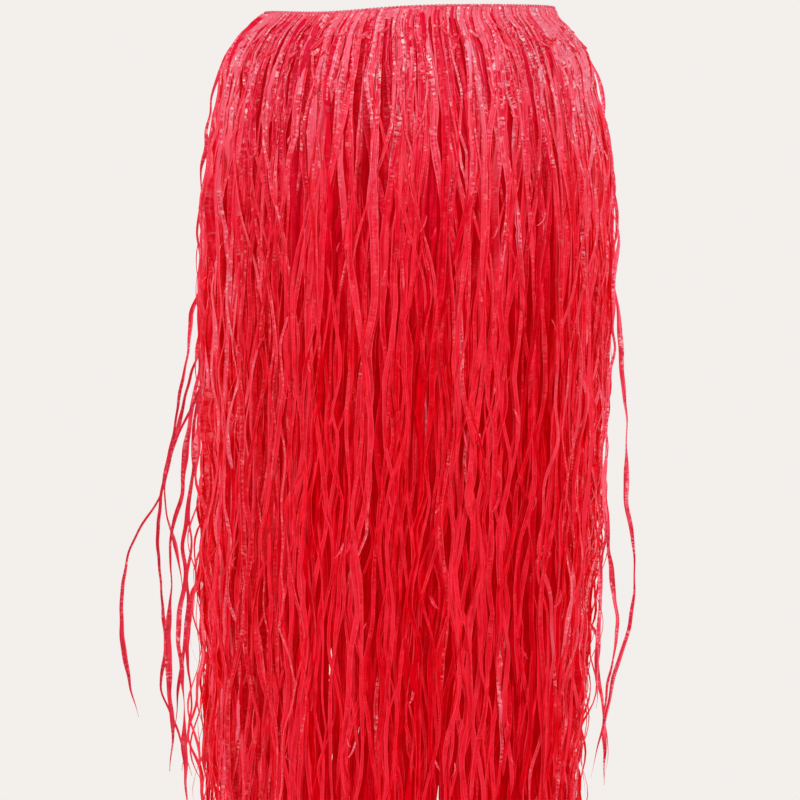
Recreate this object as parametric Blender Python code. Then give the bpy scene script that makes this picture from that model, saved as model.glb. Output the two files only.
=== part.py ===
"""Grass skirt of raffia: a waist elastic with four lengths of raffia fringe sewn round it, one over another.

Metres, +Z up, the front facing -Y. The origin is the middle of the waist opening, level with the top edge,
where the wearer holds the skirt up. Heights are given as a drop below that edge. Angles round the skirt
start at +X and pass the back, so a right angle is the middle of the back.
"""

import math
import random
from collections import namedtuple

import bmesh
import bpy
from mathutils import Vector

NAME = "grass_skirt"
SKIRT_LENGTH = 0.800  # top edge to the middle of the ragged hem
HEM_SPREAD = 0.040  # how much higher or lower a strand may end
RISE_TO_RIGHT = 0.018  # the worn waist stands a little higher towards +X

HEADING_HEIGHT = 0.012  # the sewn top of each length of fringe, which its strands are rooted in
HEADING_THICKNESS = 0.0015
HEADING_STEP = 0.0008  # each heading stands this much higher than the one under it
GATHER_DEPTH = 0.0004  # of the troughs between the gathers on the outside of a heading
SEAM_GAP = 0.00045  # between one sewn piece and the next

ELASTIC_HEIGHT = 0.0082
ELASTIC_THICKNESS = 0.0020
ELASTIC_DROP = 0.0032
ELASTIC_COLUMNS = 72

STRANDS_ROUND = 60  # in each length of fringe
STRAND_THICKNESS = 0.0015
ROOT_SHARE = 0.74  # of the heading that strands are rooted along, the rest being gaps
LAYER_PITCH = 0.0042  # from one layer of strands to the next, from the hips down
PITCH_FROM = 0.090  # the drop by which the layers have taken that pitch
LANE_MARGIN = 0.0004  # kept free at each side of a strand's own lane
TWIST = 0.0006  # how far a strand's edge turns in or out
UPPER_KNOTS = (0.028, 0.070, 0.160)  # drops at which every strand bends over the hips
TAPER_FROM = 0.62  # the drop at which strands start to taper

RAFFIA_RED = (0.64, 0.012, 0.022, 1.0)
ELASTIC_RED = (0.42, 0.010, 0.018, 1.0)

# The outside of the skirt at each drop: where its middle hangs from side to side, its half width, and how
# far it reaches to the front and back. The strands hang a little over to -X.
Section = namedtuple("Section", "drop middle half_width front back")
FORM = (
    Section(0.000, 0.0000, 0.1480, 0.106, 0.106),
    Section(0.010, 0.0000, 0.1530, 0.108, 0.110),
    Section(0.020, 0.0000, 0.1640, 0.113, 0.118),
    Section(0.045, 0.0000, 0.1815, 0.122, 0.133),
    Section(0.090, 0.0000, 0.1965, 0.132, 0.149),
    Section(0.190, 0.0000, 0.2085, 0.141, 0.165),
    Section(0.330, -0.0030, 0.2080, 0.144, 0.168),
    Section(0.500, -0.0090, 0.2045, 0.143, 0.165),
    Section(0.650, -0.0140, 0.2020, 0.141, 0.161),
    Section(0.860, -0.0190, 0.1950, 0.137, 0.154),
)

# The lengths of fringe from the innermost out: the drops of their strands' lower knots, how wide the strands
# are over the hips and at their ends, and how far they stray sideways.
Layer = namedtuple("Layer", "name lower_knots hip_width end_width stray seed")
LAYERS = (
    Layer("fringe_under", (0.600,), 0.0165, 0.0080, 0.0015, 11),
    Layer("fringe_inner", (0.560,), 0.0140, 0.0065, 0.0030, 23),
    Layer("fringe_middle", (0.340, 0.490, 0.640), 0.0112, 0.0050, 0.0042, 37),
    Layer("fringe_top", (0.310, 0.430, 0.550, 0.670), 0.0092, 0.0040, 0.0050, 53),
)

# Loose strands of the top layer: the side they hang at (1 at +X, -1 at -X), their place along it counted
# towards the back from the side's middle, the drop at which each leaves the rest, and then how far beyond
# the rest it hangs at four lower drops, the last being its end.
Loose = namedtuple("Loose", "side place leaves drop_1 beyond_1 drop_2 beyond_2 drop_3 beyond_3 drop_4 beyond_4")
LOOSE = (
    Loose(-1, 0, 0.300, 0.410, 0.020, 0.492, 0.035, 0.592, 0.071, 0.706, 0.057),
    Loose(-1, -1, 0.360, 0.470, 0.010, 0.560, 0.023, 0.660, 0.024, 0.735, 0.010),
    Loose(-1, 1, 0.400, 0.490, 0.005, 0.585, 0.012, 0.690, 0.022, 0.782, 0.012),
    Loose(-1, -2, 0.440, 0.530, 0.007, 0.610, 0.014, 0.700, 0.006, 0.790, 0.010),
    Loose(1, 0, 0.300, 0.452, 0.023, 0.500, 0.022, 0.585, 0.037, 0.740, 0.016),
    Loose(1, -1, 0.360, 0.520, 0.010, 0.617, 0.022, 0.690, 0.013, 0.752, 0.018),
)

# One bend of a strand: the angle and drop of its middle, how far it lies inside the skirt's outside, its
# width, how far its edges turn in and out, and how far it hangs beyond the rest.
Knot = namedtuple("Knot", "angle drop inset width twist beyond")


def smooth_through(knots, values, at):
    """The value at a place on one smooth curve through the values at the knots."""
    at = min(max(at, knots[0]), knots[-1])
    low = max(i for i in range(len(knots) - 1) if i == 0 or knots[i] <= at)

    def slope(i):
        before, after = max(i - 1, 0), min(i + 1, len(knots) - 1)
        return (values[after] - values[before]) / (knots[after] - knots[before])

    length = knots[low + 1] - knots[low]
    share = (at - knots[low]) / length
    square, cube = share**2, share**3
    return (
        (2 * cube - 3 * square + 1) * values[low]
        + (cube - 2 * square + share) * slope(low) * length
        + (3 * square - 2 * cube) * values[low + 1]
        + (cube - square) * slope(low + 1) * length
    )


def eased(share):
    """From 0 to 1 with a soft start and end."""
    share = min(max(share, 0.0), 1.0)
    return share * share * (3 - 2 * share)


def form_at(drop):
    """The skirt's section at a drop."""
    knots = [section.drop for section in FORM]
    return Section(drop, *(smooth_through(knots, values, drop) for values in list(zip(*FORM))[1:]))


def on_form(angle, drop, inset):
    """The point at an angle and a drop that lies this far inside the skirt's outside."""
    form = form_at(drop)
    depth = form.back if math.sin(angle) > 0 else form.front
    x = form.middle + (form.half_width - inset) * math.cos(angle)
    y = (depth - inset) * math.sin(angle)
    return Vector((x, y, RISE_TO_RIGHT * x - drop))


def turned(angle, drop, inset, along):
    """The angle reached from another by going a distance along the cloth."""
    step = 0.001
    reach = (on_form(angle + step, drop, inset) - on_form(angle - step, drop, inset)).length
    return angle + 2 * step * along / reach


def even_angles(count, shift):
    """Angles that part the waist into equal lengths, all moved on by a share of one part."""
    fine = 3600
    corners = [on_form(2 * math.pi * i / fine, 0.0, 0.0) for i in range(fine + 1)]
    along = [0.0]
    for before, after in zip(corners, corners[1:]):
        along.append(along[-1] + (after - before).length)
    angles = []
    for i in range(count):
        wanted = along[-1] * (i + shift) / count
        low = max(j for j in range(fine) if along[j] <= wanted)
        angles.append(2 * math.pi * (low + (wanted - along[low]) / (along[low + 1] - along[low])) / fine)
    return angles


def closed_band(bm, columns, place):
    """A closed band round the waist, whose bottom faces are returned.

    The place of each corner is worked out from its column and from whether it is an outer and an upper one.
    """
    column = bm.verts.layers.int.new("column")
    outer = bm.verts.layers.int.new("outer")
    upper = bm.verts.layers.int.new("upper")
    for is_outer in (0, 1):
        loop = bmesh.ops.create_circle(bm, segments=columns, radius=1.0 + is_outer)["verts"]
        for i, vertex in enumerate(loop):
            vertex[column] = i
            vertex[outer] = is_outer
    bmesh.ops.bridge_loops(bm, edges=bm.edges[:])
    bottom = bm.faces[:]
    lifted = bmesh.ops.extrude_face_region(bm, geom=bm.faces[:] + bm.edges[:], use_keep_orig=True)["geom"]
    for part in lifted:
        if isinstance(part, bmesh.types.BMVert):
            part[upper] = 1
    for vertex in bm.verts:
        vertex.co = place(vertex[column], vertex[outer], vertex[upper])
    return bottom


def new_object(name, bm, collection, material):
    """A named object of the mesh, which is left clean and smooth-shaded."""
    bmesh.ops.recalc_face_normals(bm, faces=bm.faces)
    mesh = bpy.data.meshes.new(name)
    bm.to_mesh(mesh)
    bm.free()
    mesh.materials.append(material)
    mesh.shade_smooth()
    mesh.set_sharp_from_angle(angle=math.radians(40))
    thing = bpy.data.objects.new(name, mesh)
    collection.objects.link(thing)
    return thing


def new_material(name, colour, roughness):
    """A plain material."""
    material = bpy.data.materials.new(name)
    material.use_nodes = True
    shader = material.node_tree.nodes["Principled BSDF"]
    shader.inputs["Base Color"].default_value = colour
    shader.inputs["Roughness"].default_value = roughness
    material.diffuse_color = colour
    return material


def heading_inset(level):
    """How far the outside of a heading lies inside the skirt's outside, level 0 being the outermost."""
    return level * (HEADING_THICKNESS + SEAM_GAP)


def strand_inset(level, drop):
    """How far a layer's strands lie inside the skirt's outside at a drop."""
    spread = eased((drop - HEADING_HEIGHT) / (PITCH_FROM - HEADING_HEIGHT))
    return heading_inset(level) * (1 - spread) + level * LAYER_PITCH * spread


def build_elastic(collection, material):
    """The elastic inside the headings, which draws the waist in."""
    levels = len(LAYERS)
    outside = heading_inset(levels)
    angles = even_angles(ELASTIC_COLUMNS, 0.5)

    def place(column, outer, upper):
        drop = ELASTIC_DROP + (0.0 if upper else ELASTIC_HEIGHT)
        return on_form(angles[column], drop, outside + (0.0 if outer else ELASTIC_THICKNESS))

    bm = bmesh.new()
    closed_band(bm, ELASTIC_COLUMNS, place)
    return new_object("waist_elastic", bm, collection, material)


def strand_width(layer, pitch_share, drop, end):
    """A strand's width at a drop: growing over the hips with the pitch, and tapered towards its end."""
    over_hips = layer.hip_width * (pitch_share + (1 - pitch_share) * eased(drop / PITCH_FROM))
    return over_hips + (layer.end_width - over_hips) * max(0.0, (drop - TAPER_FROM) / (end - TAPER_FROM))


def lane_at(angles, i, drop, inset):
    """The distance from a strand's middle to the nearer of its neighbours' at a drop."""
    here = on_form(angles[i], drop, inset)
    beside = [on_form(angles[(i + step) % len(angles)], drop, inset) for step in (-1, 1)]
    return min((here - there).length for there in beside)


def strand_knots(layer, level, angles, i, loose, rng):
    """The bends of one strand below its root."""
    end = SKIRT_LENGTH + rng.uniform(-HEM_SPREAD, HEM_SPREAD)
    lower = [drop + rng.uniform(-0.025, 0.025) for drop in layer.lower_knots]
    drops = [*UPPER_KNOTS, *lower, end]
    beyonds = [0.0] * len(drops)
    if loose:
        drops = [*UPPER_KNOTS, loose.leaves, loose.drop_1, loose.drop_2, loose.drop_3, loose.drop_4]
        beyonds = [0.0] * 4 + [loose.beyond_1, loose.beyond_2, loose.beyond_3, loose.beyond_4]
    pitch_share = lane_at(angles, i, 0.0, 0.0) / lane_at(angles, i, PITCH_FROM, 0.0)
    breadth = rng.uniform(0.86, 1.0)
    knots = []
    for drop, beyond in zip(drops, beyonds):
        inset = strand_inset(level, drop)
        lane = lane_at(angles, i, drop, inset)
        width = min(breadth * strand_width(layer, pitch_share, drop, drops[-1]), lane - 2 * LANE_MARGIN)
        free = (lane - width) / 2 - LANE_MARGIN
        stray = rng.uniform(-1, 1) * min(free, layer.stray * eased(drop / 0.25))
        angle = turned(angles[i], drop, inset, stray)
        twist = rng.uniform(-TWIST, TWIST) * eased(drop / PITCH_FROM)
        knots.append(Knot(angle, drop, inset, width, twist, beyond))
    return knots


def strand_corner(knot, side, outer):
    """One of the four corners of a strand at a knot, at its side towards larger (1) or smaller (-1) angles."""
    angle = turned(knot.angle, knot.drop, knot.inset, side * knot.width / 2)
    inset = knot.inset + side * knot.twist + (0.0 if outer else STRAND_THICKNESS)
    away = Vector((math.cos(knot.angle), math.sin(knot.angle), 0.0))
    return on_form(angle, knot.drop, inset) + away * knot.beyond


def build_fringe(layer, level, collection, material):
    """One length of fringe: a gathered heading round the waist with its strands rooted in the lower edge."""
    rng = random.Random(layer.seed)
    count = STRANDS_ROUND
    angles = even_angles(count, 0.5 * (level % 2))
    inset = heading_inset(level)
    top = HEADING_STEP * level
    dips = [rng.uniform(0.0, GATHER_DEPTH) for _ in range(2 * count)]

    def place(column, outer, upper):
        drop = top if upper else HEADING_HEIGHT
        middle = angles[column // 2]
        half_root = ROOT_SHARE * lane_at(angles, column // 2, drop, inset) / 2
        angle = turned(middle, drop, inset, half_root if column % 2 else -half_root)
        return on_form(angle, drop, inset + (dips[column] if outer else HEADING_THICKNESS))

    bm = bmesh.new()
    strand = bm.faces.layers.int.new("strand")
    bottom = closed_band(bm, 2 * count, place)
    column = bm.verts.layers.int["column"]
    outer = bm.verts.layers.int["outer"]
    roots = [face for face in bottom if len({vertex[column] // 2 for vertex in face.verts}) == 1]
    for face in roots:
        face[strand] = face.verts[0][column] // 2

    middles = {side: round(count / 4 * (1 - side)) for side in (1, -1)}
    loose_strands = {}
    if level == 0:
        loose_strands = {(middles[loose.side] + loose.place * loose.side) % count: loose for loose in LOOSE}
    knots = [strand_knots(layer, level, angles, i, loose_strands.get(i), rng) for i in range(count)]
    ends = roots
    for section in range(len(knots[0])):
        ends = bmesh.ops.extrude_discrete_faces(bm, faces=ends)["faces"]
        for face in ends:
            for vertex in face.verts:
                side = 1 if vertex[column] % 2 else -1
                vertex.co = strand_corner(knots[face[strand]][section], side, vertex[outer])
    return new_object(layer.name, bm, collection, material)


def main():
    for thing in list(bpy.data.objects):
        bpy.data.objects.remove(thing, do_unlink=True)
    skirt = bpy.data.collections.new(NAME)
    bpy.context.scene.collection.children.link(skirt)
    build_elastic(skirt, new_material("elastic_red", ELASTIC_RED, 0.8))
    for place, layer in enumerate(LAYERS):
        material = new_material(f"raffia_red_{layer.name}", RAFFIA_RED, 0.45)
        build_fringe(layer, len(LAYERS) - 1 - place, skirt, material)


main()
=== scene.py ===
"""A red raffia grass skirt, hung from a waist: ribbons of crumpled raffia over an elastic waistband.

Metres, in the frame of the solids: +Z up, the front facing -Y, the origin in the middle of the waist
opening. Heights are given as a drop below the top edge, and angles round the skirt start at +X and pass
the back.
"""

import math
from collections import namedtuple
from functools import partial

import bpy
import numpy as np
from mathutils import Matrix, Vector
from numpy.linalg import norm


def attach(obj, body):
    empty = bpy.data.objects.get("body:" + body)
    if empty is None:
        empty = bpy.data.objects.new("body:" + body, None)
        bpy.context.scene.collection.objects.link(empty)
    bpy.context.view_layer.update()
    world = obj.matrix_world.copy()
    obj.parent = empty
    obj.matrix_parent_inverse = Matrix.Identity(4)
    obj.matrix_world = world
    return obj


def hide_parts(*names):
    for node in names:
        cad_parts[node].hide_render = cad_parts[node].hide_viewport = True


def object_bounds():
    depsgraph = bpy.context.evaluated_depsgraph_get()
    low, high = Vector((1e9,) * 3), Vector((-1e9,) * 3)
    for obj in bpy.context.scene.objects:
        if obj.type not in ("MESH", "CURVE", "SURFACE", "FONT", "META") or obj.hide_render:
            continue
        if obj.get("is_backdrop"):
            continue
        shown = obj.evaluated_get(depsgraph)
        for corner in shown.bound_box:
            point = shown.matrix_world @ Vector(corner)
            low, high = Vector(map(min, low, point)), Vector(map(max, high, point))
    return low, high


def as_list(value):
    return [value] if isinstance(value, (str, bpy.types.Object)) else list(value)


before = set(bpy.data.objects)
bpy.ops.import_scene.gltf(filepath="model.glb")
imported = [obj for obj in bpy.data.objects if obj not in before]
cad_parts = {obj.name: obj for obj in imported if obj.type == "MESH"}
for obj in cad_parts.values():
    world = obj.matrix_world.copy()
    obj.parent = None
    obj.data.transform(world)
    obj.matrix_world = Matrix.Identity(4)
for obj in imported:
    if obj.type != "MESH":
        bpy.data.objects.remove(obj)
CAD_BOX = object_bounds()

# ---- the skirt's sizes

SKIRT_LENGTH = 0.800
# The top edge rises to the right by this share of the way, and sags at the left of the front.
RISE_TO_RIGHT = 0.018
WAIST_SAG = 0.0050
SAG_PLACE = -0.090
SAG_REACH = 0.070
SAG_DROP = 0.12
# Each heading starts a step lower than the one outside it.
HEADING_HEIGHT = 0.012
HEADING_THICKNESS = 0.0015
HEADING_STEP = 0.0008
SEAM_GAP = 0.00045
ELASTIC_DROP = 0.0032
ELASTIC_HEIGHT = 0.0082
ELASTIC_THICKNESS = 0.0020
# How far apart the layers hang, and the drop from which they do.
LAYER_PITCH = 0.0042
PITCH_FROM = 0.090

# The outside of the skirt, in rows of the drop, where its middle lies from side to side, its half width, and
# how far it reaches to the front and to the back.
FORM_IN_MM = (
    (0, 2.5, 145, 106, 106),
    (10, -1, 152.5, 108, 110),
    (20, -2, 163.5, 113, 118),
    (45, -1, 180, 122, 133),
    (90, -0.5, 194, 132, 149),
    (190, 0.5, 206.5, 141, 165),
    (330, -2.5, 204, 144, 168),
    (500, -8, 203.5, 143, 165),
    (650, -14, 202, 141, 161),
    (860, -19, 195, 137, 154),
)
FORM = np.array(FORM_IN_MM) / 1000


def eased(share):
    """From 0 to 1 with a soft start and end."""
    share = np.clip(share, 0.0, 1.0)
    return share * share * (3 - 2 * share)


def bump_at(where, centre, reach):
    """1 at the centre, dying away over the reach."""
    return np.exp(-(((where - centre) / reach) ** 2))


def form_at(drop):
    """The skirt's middle, half width, front and back at each drop, on smooth curves through the sections."""
    knots = FORM[:, 0]
    drop = np.clip(drop, knots[0], knots[-1])
    low = np.clip(np.searchsorted(knots, drop, side="right") - 1, 0, len(knots) - 2)
    length = knots[low + 1] - knots[low]
    share = (drop - knots[low]) / length
    before = np.maximum(np.arange(len(knots)) - 1, 0)
    after = np.minimum(np.arange(len(knots)) + 1, len(knots) - 1)
    sections = []
    for values in FORM[:, 1:].T:
        slope = (values[after] - values[before]) / (knots[after] - knots[before])
        sections.append(
            (2 * share**3 - 3 * share**2 + 1) * values[low]
            + (share**3 - 2 * share**2 + share) * slope[low] * length
            + (3 * share**2 - 2 * share**3) * values[low + 1]
            + (share**3 - share**2) * slope[low + 1] * length
        )
    return sections


def on_form(angle, drop, inset):
    """The points at these angles and drops that lie this far inside the skirt's outside."""
    middle, half_width, front, back = form_at(drop)
    depth = np.where(np.sin(angle) > 0, back, front)
    x = middle + (half_width - inset) * np.cos(angle)
    y = (depth - inset) * np.sin(angle)
    sag = WAIST_SAG * bump_at(x, SAG_PLACE, SAG_REACH) * eased(-np.sin(angle)) * (1 - eased(drop / SAG_DROP))
    return np.stack([x, y, RISE_TO_RIGHT * x - drop - sag], axis=-1)


def sideways_at(angle, drop, inset):
    """How a point moves for each radian that it goes round the skirt."""
    step = 0.001
    return (on_form(angle + step, drop, inset) - on_form(angle - step, drop, inset)) / (2 * step)


def turned(angle, drop, inset, along):
    """The angles reached by going these distances along the cloth."""
    return angle + along / norm(sideways_at(angle, drop, inset), axis=-1)


def even_angles(count, shift):
    """Angles that part the waist into equal lengths, all moved on by a share of one part."""
    fine = np.linspace(0.0, 2 * math.pi, 3601)
    corners = on_form(fine, np.zeros_like(fine), 0.0)
    along = np.concatenate([[0.0], np.cumsum(norm(np.diff(corners, axis=0), axis=1))])
    return np.interp(along[-1] * (np.arange(count) + shift) / count, along, fine)


def heading_inset(level):
    """How far the outside of a heading lies inside the skirt's outside, level 0 being the outermost."""
    return level * (HEADING_THICKNESS + SEAM_GAP)


def strand_inset(level, drop):
    """How far a layer's strands lie inside the skirt's outside at a drop."""
    spread = eased((drop - HEADING_HEIGHT) / (PITCH_FROM - HEADING_HEIGHT))
    return heading_inset(level) * (1 - spread) + level * LAYER_PITCH * spread


# ---- shader nodes


class Wiring:
    """Adds nodes to a tree and joins them, so that a material reads as a list of steps."""

    IN_A_ROW = 12

    def __init__(self, tree):
        self.tree = tree
        self.placed = 0

    def add(self, kind, links=(), **settings):
        """A node of the kind; links are (input name or number, socket or value) pairs."""
        node = self.tree.nodes.new(kind)
        row, column = divmod(self.placed, self.IN_A_ROW)
        node.location = (220 * column, -260 * row)
        self.placed += 1
        for name, value in settings.items():
            setattr(node, name, value)
        for name, value in links:
            socket = node.inputs[name]
            if isinstance(value, bpy.types.NodeSocket):
                self.tree.links.new(value, socket)
            else:
                socket.default_value = value
        return node

    def join(self, source, target):
        self.tree.links.new(source, target)

    def maths(self, operation, *values, clamp=False):
        links = list(enumerate(values))
        return self.add("ShaderNodeMath", links, operation=operation, use_clamp=clamp).outputs[0]

    def times(self, first, second):
        return self.maths("MULTIPLY", first, second)

    def plus(self, first, second, clamp=False):
        return self.maths("ADD", first, second, clamp=clamp)

    def minus(self, first, second):
        return self.maths("SUBTRACT", first, second)

    def noise(self, vector, detail, distortion):
        links = [("Vector", vector), ("Scale", 1.0), ("Detail", detail), ("Distortion", distortion)]
        return self.add("ShaderNodeTexNoise", links).outputs[0]

    def between(self, value, none_at, full_at):
        """0 at the one value and beyond it, rising to 1 at the other, which may be the lower of the two."""
        links = [(0, value), (1, none_at), (2, full_at)]
        return self.add("ShaderNodeMapRange", links, clamp=True).outputs[0]

    def mixed(self, share, first, second):
        """The first colour, with a share of the second: the node's inputs 6 and 7 are colours."""
        links = [(0, share), (6, first), (7, second)]
        return self.add("ShaderNodeMix", links, data_type="RGBA").outputs[2]

    def stored(self, geometry, name, value, data_type, domain):
        """The geometry with a named value on its points or corners."""
        links = [("Geometry", geometry), ("Name", name), ("Value", value)]
        kind = "GeometryNodeStoreNamedAttribute"
        return self.add(kind, links, data_type=data_type, domain=domain).outputs[0]

    def bumped(self, shader, height, strength, distance):
        """Shapes the shader's surface by a height."""
        links = [("Height", height), ("Strength", strength), ("Distance", distance)]
        self.join(self.add("ShaderNodeBump", links).outputs[0], shader.inputs["Normal"])


def new_object(name, data):
    """An object of the data, in the scene."""
    thing = bpy.data.objects.new(name, data)
    bpy.context.scene.collection.objects.link(thing)
    return thing


def new_group(name, kind, inputs, outputs):
    """A node group, with the names and kinds of its sockets."""
    group = bpy.data.node_groups.new(name, kind)
    for direction, sockets in (("INPUT", inputs), ("OUTPUT", outputs)):
        for label, socket in sockets.items():
            group.interface.new_socket(label, in_out=direction, socket_type="NodeSocket" + socket)
    wiring = Wiring(group)
    source = wiring.add("NodeGroupInput")
    target = wiring.add("NodeGroupOutput")
    return group, wiring, source, target


def new_material(name, values):
    """A material, its wiring and its shader, which has these values."""
    material = bpy.data.materials.new(name)
    material.use_nodes = True
    shader = material.node_tree.nodes["Principled BSDF"]
    for label, value in values.items():
        shader.inputs[label].default_value = value
    return material, Wiring(material.node_tree), shader


def dimmed(colour, share):
    """The colour with only a share of its light."""
    return tuple(share * part for part in colour[:3]) + (1.0,)


# How far apart strips of different tones lie in noise space.
STRIPS_APART = 61.7


def raffia_surface_group():
    """Crinkles across a strip of raffia and fine fibres along it, in the strip's own length and width, with
    painted light.
    """
    group, wiring, source, target = new_group(
        "raffia_surface",
        "ShaderNodeTree",
        {"Strip Place": "Vector", "Tone": "Float", "Crumple": "Float", "Rim": "Float"},
        {"Height": "Float", "Shade": "Float", "Pale": "Float", "Gloss": "Float", "Flush": "Float"},
    )
    times, plus, minus, between = wiring.times, wiring.plus, wiring.minus, wiring.between
    tone, crumple = source.outputs["Tone"], source.outputs["Crumple"]
    rim = between(source.outputs["Rim"], 0.70, 1.0)
    place = wiring.add("ShaderNodeSeparateXYZ", [(0, source.outputs["Strip Place"])])
    across, along = place.outputs[:2]
    strip = times(tone, STRIPS_APART)

    def uneven(number_across, number_along, detail, distortion):
        """Noise with so many waves to a metre across a strip and along it, each strip having its own."""
        links = [(0, times(across, number_across)), (1, times(along, number_along)), (2, strip)]
        return wiring.noise(wiring.add("ShaderNodeCombineXYZ", links).outputs[0], detail, distortion)

    def give(label, value):
        wiring.join(value, target.inputs[label])

    patches = uneven(150.0, 30.0, 2.0, 0.3)
    folds = uneven(120.0, 60.0, 2.0, 0.4)
    pleats = uneven(420.0, 16.0, 1.0, 0.0)
    fibres = uneven(620.0, 14.0, 1.0, 0.0)
    wrinkles = uneven(150.0, 380.0, 1.0, 0.5)
    sparks = uneven(240.0, 95.0, 1.0, 0.0)

    # Wrinkles lie like rungs across the crumpled patches, and some of them glint: glossy, and with a painted
    # glint in the colour.
    crumpled = times(between(patches, 0.43, 0.54), crumple)
    crinkle = times(between(wrinkles, 0.46, 0.58), crumpled)
    lively = times(between(sparks, 0.53, 0.61), between(tone, 0.1, 0.5))
    give("Gloss", times(crinkle, lively))

    height = plus(times(folds, 0.9), times(pleats, 0.8))
    give("Height", plus(times(crinkle, 0.8), height))

    # The brightness of the red: by strip and fibre, with painted light and shade on the folds, painted shade
    # in the furrows between wrinkles, a painted highlight along the rims and painted light that lifts the
    # shade in the crowd of strips below the heading. A strip that isn't crumpled is a little darker, which is
    # painted light, darker lower down.
    rumpled = times(minus(folds, 0.5), 1.2)
    parted = times(minus(tone, 0.5), times(crumple, 0.38))
    crowded = times(between(along, 0.045, 0.0), times(crumple, 0.44))
    brightened = plus(plus(tone, plus(rumpled, parted)), crowded)
    streaked = plus(times(crumple, 2.7), 0.6)
    fibrous = times(minus(fibres, 0.5), streaked)
    furrows = times(minus(crinkle, times(crumpled, 0.6)), 0.8)
    shade = plus(brightened, plus(fibrous, furrows))
    edged = plus(shade, times(rim, 0.4), clamp=True)
    # Painted light: darker where a strip is less crumpled, which is mostly lower down.
    lit_by_crumple = plus(times(crumple, 0.23), 0.785, clamp=True)
    give("Shade", times(edged, lit_by_crumple))

    # Paler where it is crumpled, a painted sheen; painted highlights on the rims and the crinkles; and pale
    # fine lines along the fibres.
    paled = plus(times(wiring.maths("POWER", edged, 2.2), 0.32), 0.02)
    painted_sheen = times(crumple, paled)
    lit = plus(painted_sheen, times(times(rim, tone), 0.10))
    line = times(between(fibres, 0.56, 0.70), times(crumple, 0.20))
    creased = plus(times(crinkle, 0.26), line)
    patched = times(creased, between(tone, 0.0, 0.45))
    give("Pale", plus(lit, patched, clamp=True))

    # Pinker near the waist: a painted sheen, of the light from above on the hips.
    give("Flush", times(between(along, 0.32, 0.03), 0.38))
    return group


# The reds of the dyed strips, from the deepest to the brightest, which the painted light and shade pick
# between,
# and the colours mixed in: a painted sheen near the waist, painted sheen and highlights where they are
# crumpled, and painted glints.
RAFFIA_REDS = (
    (0.00, (0.54, 0.000, 0.005, 1.0)),
    (0.35, (0.76, 0.001, 0.010, 1.0)),
    (0.70, (0.93, 0.012, 0.034, 1.0)),
    (1.00, (1.00, 0.036, 0.072, 1.0)),
)
RAFFIA_FLUSH = (0.96, 0.010, 0.092, 1.0)
RAFFIA_PALE = (1.0, 0.55, 0.70, 1.0)
RAFFIA_GLINT = (1.0, 0.76, 0.74, 1.0)
RAFFIA_RELIEF = 0.0007


def raffia_material(name, surface, glow, glow_strength):
    """Dyed raffia: red that differs from strip to strip, glossy where it is crumpled, and painted paler there
    as sheen.

    The glow is painted light: an emission that stands in for the light that comes through a thin strip
    and lifts its shade.
    """
    values = {
        "Coat Roughness": 0.25,
        "Specular IOR Level": 0.0,
        "Emission Color": glow,
        "Emission Strength": glow_strength,
    }
    material, wiring, shader = new_material(name, values)
    skin = wiring.add("ShaderNodeGroup", node_tree=surface)
    wiring.join(wiring.add("ShaderNodeUVMap", uv_map="UVMap").outputs[0], skin.inputs["Strip Place"])
    for label in ("Tone", "Crumple", "Rim"):
        attribute = wiring.add("ShaderNodeAttribute", attribute_name=label.lower())
        wiring.join(attribute.outputs["Fac"], skin.inputs[label])
    reds = wiring.add("ShaderNodeValToRGB", [(0, skin.outputs["Shade"])])
    for place, _ in RAFFIA_REDS[1:-1]:
        reds.color_ramp.elements.new(place)
    for element, (place, colour) in zip(reds.color_ramp.elements, RAFFIA_REDS):
        element.position = place
        element.color = colour
    # The flush and the paleness are painted sheen and painted highlights, and the glint is a painted
    # highlight.
    flushed = wiring.mixed(skin.outputs["Flush"], reds.outputs[0], RAFFIA_FLUSH)
    paled = wiring.mixed(skin.outputs["Pale"], flushed, RAFFIA_PALE)
    glint = wiring.times(skin.outputs["Gloss"], 0.85)
    wiring.join(wiring.mixed(glint, paled, RAFFIA_GLINT), shader.inputs["Base Color"])
    dull = wiring.minus(0.55, wiring.times(skin.outputs["Gloss"], 0.25))
    wiring.join(dull, shader.inputs["Roughness"])
    wiring.bumped(shader, skin.outputs["Height"], 1.0, RAFFIA_RELIEF)
    wiring.join(skin.outputs["Gloss"], shader.inputs["Coat Weight"])
    return material


def thread_material(name, colour):
    """Spun thread, with its twist showing as fine slanting ridges."""
    material, wiring, shader = new_material(name, {"Base Color": colour, "Roughness": 0.65})
    place = wiring.add("ShaderNodeTexCoord").outputs["Object"]
    links = [("Vector", place), ("Scale", 900.0), ("Distortion", 2.0)]
    twist = wiring.add("ShaderNodeTexWave", links, bands_direction="DIAGONAL")
    wiring.bumped(shader, twist.outputs[1], 0.5, 0.0001)
    return material


def elastic_material(name, colour):
    """Woven elastic: fine threads across its cords."""
    material, wiring, shader = new_material(name, {"Roughness": 0.8})
    place = wiring.add("ShaderNodeUVMap", uv_map="UVMap").outputs[0]
    weave = wiring.add("ShaderNodeTexWave", [("Vector", place), ("Scale", 260.0), ("Distortion", 0.6)])
    shade = wiring.mixed(weave.outputs[1], dimmed(colour, 0.55), colour)
    wiring.join(shade, shader.inputs["Base Color"])
    wiring.bumped(shader, weave.outputs[1], 0.7, 0.0002)
    return material


def studio_material(name, colour):
    """A plain floor with the faintest unevenness."""
    material, wiring, shader = new_material(name, {"Roughness": 0.9})
    cloudy = wiring.noise(wiring.add("ShaderNodeTexCoord").outputs["Object"], 2.0, 0.0)
    wiring.join(wiring.mixed(cloudy, colour, dimmed(colour, 0.97)), shader.inputs["Base Color"])
    return material


# ---- geometry trees

# How thick a strip is for its width.
STRIP_THICKNESS = 0.035


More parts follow.
